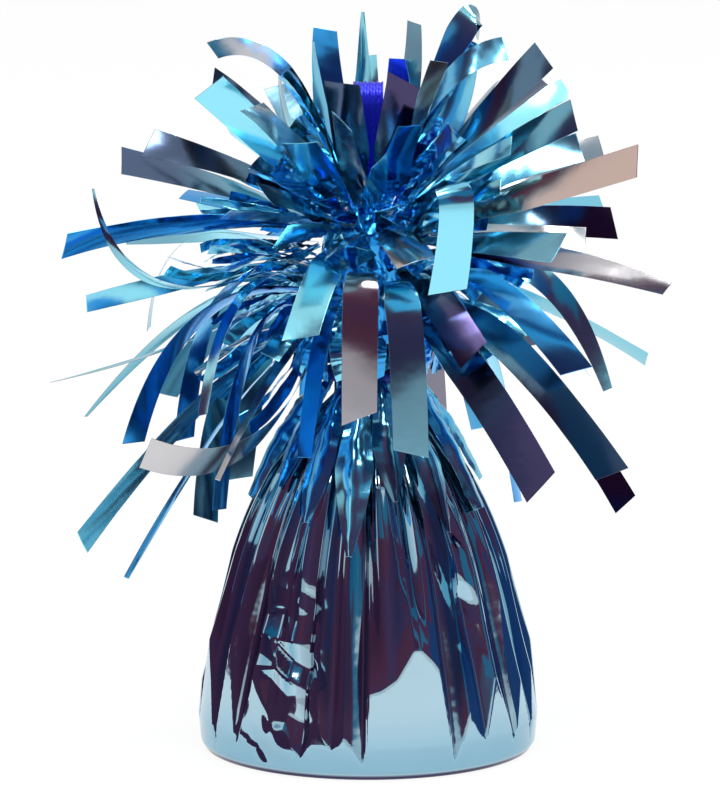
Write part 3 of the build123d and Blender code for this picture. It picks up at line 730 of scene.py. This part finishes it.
def foilStrips(azimuth, root, bend, tip, roll, width, point, crinkle, seed,
               share=1.0, rootLift=0.0, endLift=0.0, spin=0.0, keel=0.0):
    # A thin closed profile carried along the curve from root to tip that the bend pulls out, as far as share
    # of it. Across, the film is cupped; along, it has creases and soft waves that die away from the gathers;
    # the end is cut at a slant or tapers to a point. The lifts move it off the curve, spin turns it about its
    # length, and keel folds it along its middle.
    gen = np.random.default_rng(seed)
    count = len(azimuth)
    column = lambda values: np.broadcast_to(np.asarray(values, float), count)[:, None, None]
    draw = lambda low, high: gen.uniform(low, high, count)[:, None, None]
    drawAbout = lambda reach: draw(-reach, reach)
    edge, endEdge = fringe["edge"], fringe["endEdge"]
    t = np.concatenate([[0], np.linspace(endEdge, 1 - endEdge, fringe["stations"] - 2), [1]])[None, :, None]
    v = np.concatenate([[-1], np.linspace(edge - 1, 1 - edge, fringe["across"] - 2), [1]])[None, None, :]
    spread = fringe["rootWidth"] + (1 - fringe["rootWidth"]) * np.minimum(t * share / fringe["fullWidth"], 1)
    pastPoint = np.clip((t - fringe["pointFrom"]) / (1 - fringe["pointFrom"]), 0, 1)
    taper = 1 - fringe["pointTaper"] * column(point) * pastPoint ** fringe["pointCurve"]
    halfWidth = fringe["width"] / 2 * column(width) * spread * taper
    length = share * (np.linalg.norm(bend - root, axis=1) + np.linalg.norm(tip - bend, axis=1))
    slant = drawAbout(draws["slant"]) * v * halfWidth / length[:, None, None]
    t = t + slant * smoothStep(fringe["slantFrom"], 1, t)
    root, bend, tip = (points[:, None, None, :] for points in (root, bend, tip))
    s = (t * share)[..., None]
    place = root * (1 - s) ** 2 + bend * 2 * s * (1 - s) + tip * s**2
    along = unit((bend - root) * (1 - s) + (tip - bend) * s)
    level = np.cross(up, outwardOf(azimuth))[:, None, None, :]
    square = np.cross(along, level)
    acrossAt = lambda turn: level * np.cos(turn)[..., None] + square * np.sin(turn)[..., None]
    turn = np.radians(column(roll)) * (fringe["rootRoll"] + (1 - fringe["rootRoll"]) * t * share)
    lift = column(rootLift) + (column(endLift) - column(rootLift)) * t
    place = place + np.cross(along, acrossAt(turn)) * lift[..., None]
    sway = drawAbout(draws["sway"]) * softWave(draw(*draws["swayCount"]) * t + draw(0, 1), 0)
    turn = turn + sway * smoothStep(0, fringe["swayFull"], t)
    turn = turn + np.radians(column(spin)) * smoothStep(0, fringe["spinFull"], t)
    across = acrossAt(turn)
    normal = np.cross(along, across)
    cup = drawAbout(draws["cup"]) * (1 - t / 2) * halfWidth * (v**2 - fringe["cupLevel"])
    folds = 0
    for wave, kind in ((softWave, "waves"), (creaseWave, "creases"), (creaseWave, "fineCreases")):
        heights, numbers, lean = draws[kind]
        folds = folds + draw(*heights) * wave(draw(*numbers) * t + draw(0, 1), drawAbout(lean) * v)
    fade = fringe["tipFolds"] + (1 - fringe["tipFolds"]) * (1 - np.clip(t, 0, 1)) ** 2
    folds = crinkle * folds * smoothStep(0, fringe["foldsFull"], t) * fade
    bump = cup + folds + keel * halfWidth * (1 - np.abs(v))
    middle = place + across * (v * halfWidth)[..., None] + normal * bump[..., None]
    front = middle + normal * fringe["film"] / 2
    behind = middle - normal * fringe["film"] / 2
    return np.concatenate([front, behind[:, :, ::-1]], axis=2)


def stripFaces(count, stations, side):
    # Quads round each strip's profile, then the two cut ends; kind 0 is the front, 1 the back, 2 an edge
    # or an end
    ringSize = 2 * side
    index = np.arange(stations * ringSize).reshape(stations, ringSize)
    turned = np.roll(index, -1, axis=1)
    around = np.stack([index[:-1], index[1:], turned[1:], turned[:-1]], -1)
    kind = np.zeros(ringSize, int)
    kind[side:] = 1
    kind[[side - 1, ringSize - 1]] = 2
    kinds = np.broadcast_to(kind, around.shape[:2]).reshape(-1)
    column = np.arange(side - 1)
    foot = np.stack([column, column + 1, ringSize - 2 - column, ringSize - 1 - column], -1)
    end = foot[:, ::-1] + (stations - 1) * ringSize
    one = np.concatenate([around.reshape(-1, 4), foot, end])
    kinds = np.concatenate([kinds, np.full(2 * (side - 1), 2)])
    shift = np.arange(count)[:, None, None] * stations * ringSize
    return (one[None] + shift).reshape(-1, 4), np.tile(kinds, count)


def reflectionTonesAlong(root, tip):
    # Each strip's painted reflection tone at its stations: the root's, then the tip's from past the middle
    share = smoothStep(*fringe["reflectionToneChange"], np.linspace(0, 1, fringe["stations"]))
    return root[:, None] + (tip - root)[:, None] * share


def makeStrips(name, points, sides, reflectionTone, body):
    # sides is 1 for blue on both faces, 0 for silver below, -1 for silver above; the painted reflection tone
    # is by strip and station
    count, stations, ringSize = points.shape[:3]
    faces, kinds = stripFaces(count, stations, ringSize // 2)
    sides = np.repeat(sides, len(faces) // count)
    silver = ((sides < 0) & (kinds == 0)) | ((sides == 0) & (kinds == 1))
    reflectionTone = np.repeat(reflectionTone.reshape(-1), ringSize)
    points = points.reshape(-1, 3)
    return makePiece(name, points, faces, body, [blueFilm, silverFilm], silver, kinds == 2, reflectionTone)


def makeTuft(name, node, rows, seed):
    # The long strips, then two inner ones beside each that has a lift
    azimuth = rows[:, 0]
    roll, width, lift, sides, point, rootReflectionTone, tipReflectionTone = rows[:, 5:].T
    curves = burstCurves(rows)
    points = [foilStrips(azimuth, *curves, roll, width, point, fringe["crinkle"], seed)]
    kept = lift != 0
    lift = lift[kept]
    innerCurves = [ends[kept] for ends in curves]
    rootLift, endLift = np.sign(lift) * inner["rootLift"], lift * inner["lift"]
    gen = np.random.default_rng(seed + inner["seed"])
    for high, turn, innerSeed in inner["pair"]:
        spin = turn * gen.choice([-1, 1], len(lift))
        innerPoint = gen.uniform(*inner["points"], len(lift))
        points.append(foilStrips(
            azimuth[kept], *innerCurves, roll[kept], width[kept] * inner["width"], innerPoint,
            inner["crinkle"], seed + innerSeed, inner["share"], rootLift * high, endLift * high, spin))
    innerCount = len(inner["pair"]) * len(lift)
    sides = np.concatenate([sides, np.where(gen.uniform(0, 1, innerCount) < inner["silverShare"], 0, 1)])
    innerReflectionTone = gen.uniform(*inner["reflectionTones"], innerCount)
    reflectionTone = np.concatenate([reflectionTonesAlong(rootReflectionTone, tipReflectionTone), reflectionTonesAlong(innerReflectionTone, innerReflectionTone)])
    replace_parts(makeStrips(name, np.concatenate(points), sides, reflectionTone, "burst"), node)


seed = 100
for name, (node, rows) in tuftRows.items():
    makeTuft(name, node, np.array(rows, float), seed)
    seed += 1
for name, (node, fan, lifts) in fanRows.items():
    makeTuft(name, node, fanToRows(fan, lifts), seed)
    seed += 1
print("fringe cut")

# Skirt strips fall from the band over the shoulder of the wrap
# azimuth, height of the tip by bodyHeight, roll, width, film's sides, pointed end, painted reflection tones
# of root and tip
skirtRows = {
    "frontSkirt": ("front_skirt", (
        (262, .61, 4, 1.1, 1, .9, .4, -.1),
        (240, .69, -8, .9, 1, .8, .9, .6),
        (284, .75, 6, 1.0, 1, .9, .2, -.7))),
    "leftSkirt": ("left_skirt", (
        (216, .77, 8, .9, 1, .6, .9, .7),
        (190, .72, -6, 1.0, 1, .5, .8, .4),
        (165, .78, 5, .9, 1, .4, .7, .5))),
    "rightSkirt": ("right_skirt", (
        (308, .66, -8, .9, 1, .85, .5, -.8),
        (334, .70, 7, 1.0, 1, .6, .6, -.4),
        (0, .76, -5, .9, 1, .4, .5, .2))),
    "backSkirt": ("back_skirt", (
        (35, .70, 6, 1.0, 1, 0, .6, -.3),
        (70, .76, -6, .9, 1, .3, .4, 0),
        (105, .67, 5, 1.0, 1, 0, .8, .5),
        (136, .74, -7, .9, 1, .3, .5, -.5))),
}
skirt = {"tie": 70.0, "rootRadius": 8.75, "lift": 3.6, "gap": 0.8, "crinkle": 1.6, "keel": 0.5}


def skirtCurves(azimuth, tipShare):
    # From the band out over the shoulder and down to just above the wrap's ridges
    outward = outwardOf(azimuth)
    tipZ = tipShare * wrap["bodyHeight"]
    bendZ = (skirt["tie"] + tipZ) / 2
    tipRadius = wrapRadius(tipZ) + np.interp(tipZ, wrapHeights, wrapDepths) / 2 + skirt["gap"]
    root = outward * skirt["rootRadius"] + up * skirt["tie"]
    bend = outward * (wrapRadius(bendZ) + skirt["lift"])[:, None] + up * bendZ[:, None]
    return root, bend, outward * tipRadius[:, None] + up * tipZ[:, None]


for name, (node, rows) in skirtRows.items():
    azimuth, tipShare, roll, width, sides, point, rootReflectionTone, tipReflectionTone = np.array(rows, float).T
    curves = skirtCurves(azimuth, tipShare)
    points = foilStrips(azimuth, *curves, roll, width, point, skirt["crinkle"], seed, keel=skirt["keel"])
    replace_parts(makeStrips(name, points, sides, reflectionTonesAlong(rootReflectionTone, tipReflectionTone), "base"), node)
    seed += 1
print("skirt hung")

# Heart: the bunched film at the root of the burst, a crumpled stalk and ball
heart = {
    "stalkRadius": 4.3,
    "stalkFoot": 66.5,
    "neck": 75.5,
    "shoulder": 78.0,
    "radius": 8.5,
    "middle": 94.0,
    "capRise": 0.1,
    "crumple": 0.55,
    "facet": 3.4,
    "seed": 7,
    "reflectionTone": 1.0,
    "around": 120,
    "stalkRows": 12,
    "sideRows": 24,
    "domeRows": 20,
}


def buildHeart():
    # A turned profile of stalk, flare, straight stretch and half ball, pushed in and out by flat facets
    ball, facet, around = heart["radius"], heart["facet"], heart["around"]
    angle = np.arange(around) / around * 2 * np.pi
    low = np.linspace(heart["stalkFoot"], heart["neck"], heart["stalkRows"])
    side = np.linspace(heart["shoulder"], heart["middle"], heart["sideRows"])
    dome = np.linspace(0, np.pi / 2, heart["domeRows"])[1:-1]
    radius = np.concatenate([0 * low + heart["stalkRadius"], 0 * side + ball, ball * np.cos(dome)])[:, None]
    height = np.concatenate([low, side, heart["middle"] + ball * np.sin(dome)])[:, None]
    lump = facetNoise(angle[None, :] * ball / facet, height / facet + 0 * angle, heart["seed"])
    grow = smoothStep(heart["neck"], heart["shoulder"], height)
    wall = radius + lump * heart["crumple"] * grow * (radius / ball)
    rings = np.stack([wall * np.cos(angle), wall * np.sin(angle), height + 0 * angle], -1)
    ends = [[0, 0, height[0, 0]], [0, 0, height[-1, 0] + heart["capRise"]]]
    points = np.concatenate([rings.reshape(-1, 3), ends])
    index, turned, faces = ringFaces(len(height), around)
    foot = np.stack([turned[0], index[0], np.full(around, len(points) - 2)], -1)
    top = np.stack([index[-1], turned[-1], np.full(around, len(points) - 1)], -1)
    return points, faces, np.concatenate([foot, top])


points, faces, pole = buildHeart()
# painted reflection: the whole heart takes the deep blue that stands for light bounced among the strips
reflectionTone = np.full(len(points), heart["reflectionTone"])
heartPiece = makePiece("fringeHeart", points, faces, "heart", [blueFilm], reflectionTone=reflectionTone, pole=pole)
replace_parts(heartPiece, "fringe_heart")
print("heart bunched")

# Ruffle: short crinkled strips at the foot of the burst that fall over the neck and the band
ruffle = {
    "count": 22,
    "sway": 0.3,
    # radius, height and spread of the height of root, bend and tip
    "ends": ((8.9, 80.0, 1.6), (14.6, 77.5, 1.2), (12.6, 69.6, 1.2)),
    "width": (0.5, 0.9),
    "roll": 30,
    "points": (0, 0.6),
    "crinkle": 3.0,
    # painted reflection tones, mostly deep blue for light bounced between the strips
    "reflectionTones": (0.1, 1.1),
    "seed": 41,
    "stripSeed": 42,
}


def buildRuffle():
    # Strips spread round the heart, each with its own drop, width, turn and painted reflection tone
    gen = np.random.default_rng(ruffle["seed"])
    count = ruffle["count"]
    azimuth = (np.arange(count) + gen.uniform(-ruffle["sway"], ruffle["sway"], count)) / count * 360
    ends = []
    for radius, height, spread in ruffle["ends"]:
        z = height + gen.uniform(0, spread, count)
        ends.append(outwardOf(azimuth) * radius + up * z[:, None])
    width = gen.uniform(*ruffle["width"], count)
    roll = gen.uniform(-ruffle["roll"], ruffle["roll"], count)
    reflectionTone = gen.uniform(*ruffle["reflectionTones"], count)
    point = gen.uniform(*ruffle["points"], count)
    return foilStrips(azimuth, *ends, roll, width, point, ruffle["crinkle"], ruffle["stripSeed"]), reflectionTone


points, reflectionTone = buildRuffle()
makeStrips("neckRuffle", points, np.ones(len(reflectionTone)), reflectionTonesAlong(reflectionTone, reflectionTone), "burst")
print("ruffle hung")

# Tie loop: a royal-blue curling ribbon, bent to a drop
ribbon = {
    "colour": "#1E22C8",
    "metallic": 0.55,
    "roughness": (0.16, 0.34),
    "mottleSize": 0.8,
    "foot": 103.4,
    "footGap": 0.3,  # half of what is between the two sides at the foot
    "middle": 120.4,
    "radius": 3.4,
    "width": 5.5,
    "thickness": 0.2,
    "ribs": 5,
    "ribDepth": 0.14,
    "stations": 96,
    "sideStations": 30,
    "across": 21,
}
# Ribbed polypropylene ribbon: a saturated blue with narrow, bright lines along it
ribbonMaterial, tree = newMaterial("royalBlueCurlingRibbon")
mottle = fineNoise(tree, ribbon["mottleSize"], 2.0)
low, high = ribbon["roughness"]
gloss = addNode(tree, "ShaderNodeMapRange", {"To Min": low, "To Max": high, "Value": mottle})
shader = addNode(tree, "ShaderNodeBsdfPrincipled", {
    "Base Color": linearColour(ribbon["colour"]), "Metallic": ribbon["metallic"],
    "Roughness": gloss.outputs[0]})
addNode(tree, "ShaderNodeOutputMaterial", {"Surface": shader.outputs[0]})


def buildRibbon():
    # A ribbed profile across the ribbon carried up one side, round the top and down the other
    foot, middle, radius, gap = (ribbon[name] for name in ("foot", "middle", "radius", "footGap"))
    share = np.linspace(0, 1, ribbon["sideStations"])
    turn = np.linspace(np.pi, 0, ribbon["stations"] - 2 * ribbon["sideStations"])
    out, rise = gap + (radius - gap) * share, foot + (middle - foot) * share
    y = np.concatenate([-out, radius * np.cos(turn), out[::-1]])
    z = np.concatenate([rise, middle + radius * np.sin(turn), rise[::-1]])
    path = np.stack([0 * y, y, z], -1)
    sideways = np.array([1.0, 0, 0])
    normal = np.cross(sideways, unit(np.gradient(path, axis=0)))[:, None]
    v = np.linspace(-1, 1, ribbon["across"])[None, :, None]
    ribs = ribbon["ribDepth"] * triangleWave(v * ribbon["ribs"] / 2)
    surface = path[:, None] + sideways * (v * ribbon["width"] / 2) + normal * ribs
    front = surface + normal * ribbon["thickness"] / 2
    behind = surface - normal * ribbon["thickness"] / 2
    return np.concatenate([front, behind[:, ::-1]], axis=1)


points = buildRibbon()
faces, kinds = stripFaces(1, len(points), ribbon["across"])
points, faces = points.reshape(-1, 3), faces[:, ::-1]
loopPiece = makePiece("ribbonLoop", points, faces, "loop", [ribbonMaterial], None, kinds == 2)
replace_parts(loopPiece, "tie_loop")
print("ribbon tied")

# The pieces that stay as the solids are: a band of covered elastic, matt and mottled by its threads; a cup
# and plug of milky moulded plastic, even and a little glossy; and dry sand, rough with light and dark grains
hidden = {
    # name of the material, colour, grain in mm, how far it is mottled, roughness
    "neck_band": ("royalBlueElastic", "#2A3FC0", 0.5, 0.5, 0.55),
    "ballast_cup": ("milkyMouldedPlastic", "#E9EAE6", 1.4, 0.08, 0.4),
    "base_plug": ("milkyPlugPlastic", "#E9EAE6", 1.4, 0.12, 0.45),
    "ballast_fill": ("dryBallastSand", "#C9B48C", 0.6, 0.45, 0.9),
}


def speckledMaterial(name, colour, grain, mottle, roughness):
    # A colour that is mottled by grains of a real size, with a fine bump of the same grains
    material, tree = newMaterial(name)
    grains = fineNoise(tree, grain, 3.0)
    shade = addNode(tree, "ShaderNodeMapRange", {"To Min": 1 - mottle, "To Max": 1.0, "Value": grains})
    tint = mixColours(tree, 1.0, linearColour(colour), shade.outputs[0], "MULTIPLY")
    bump = addNode(tree, "ShaderNodeBump", {"Strength": 0.4, "Distance": grain * mm / 4, "Height": grains})
    shader = addNode(tree, "ShaderNodeBsdfPrincipled", {
        "Roughness": roughness, "Base Color": tint, "Normal": bump.outputs[0]})
    addNode(tree, "ShaderNodeOutputMaterial", {"Surface": shader.outputs[0]})
    return material


for node, looks in hidden.items():
    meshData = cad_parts[node].data
    meshData.materials.clear()
    meshData.materials.append(speckledMaterial(*looks))
print("solids coloured")
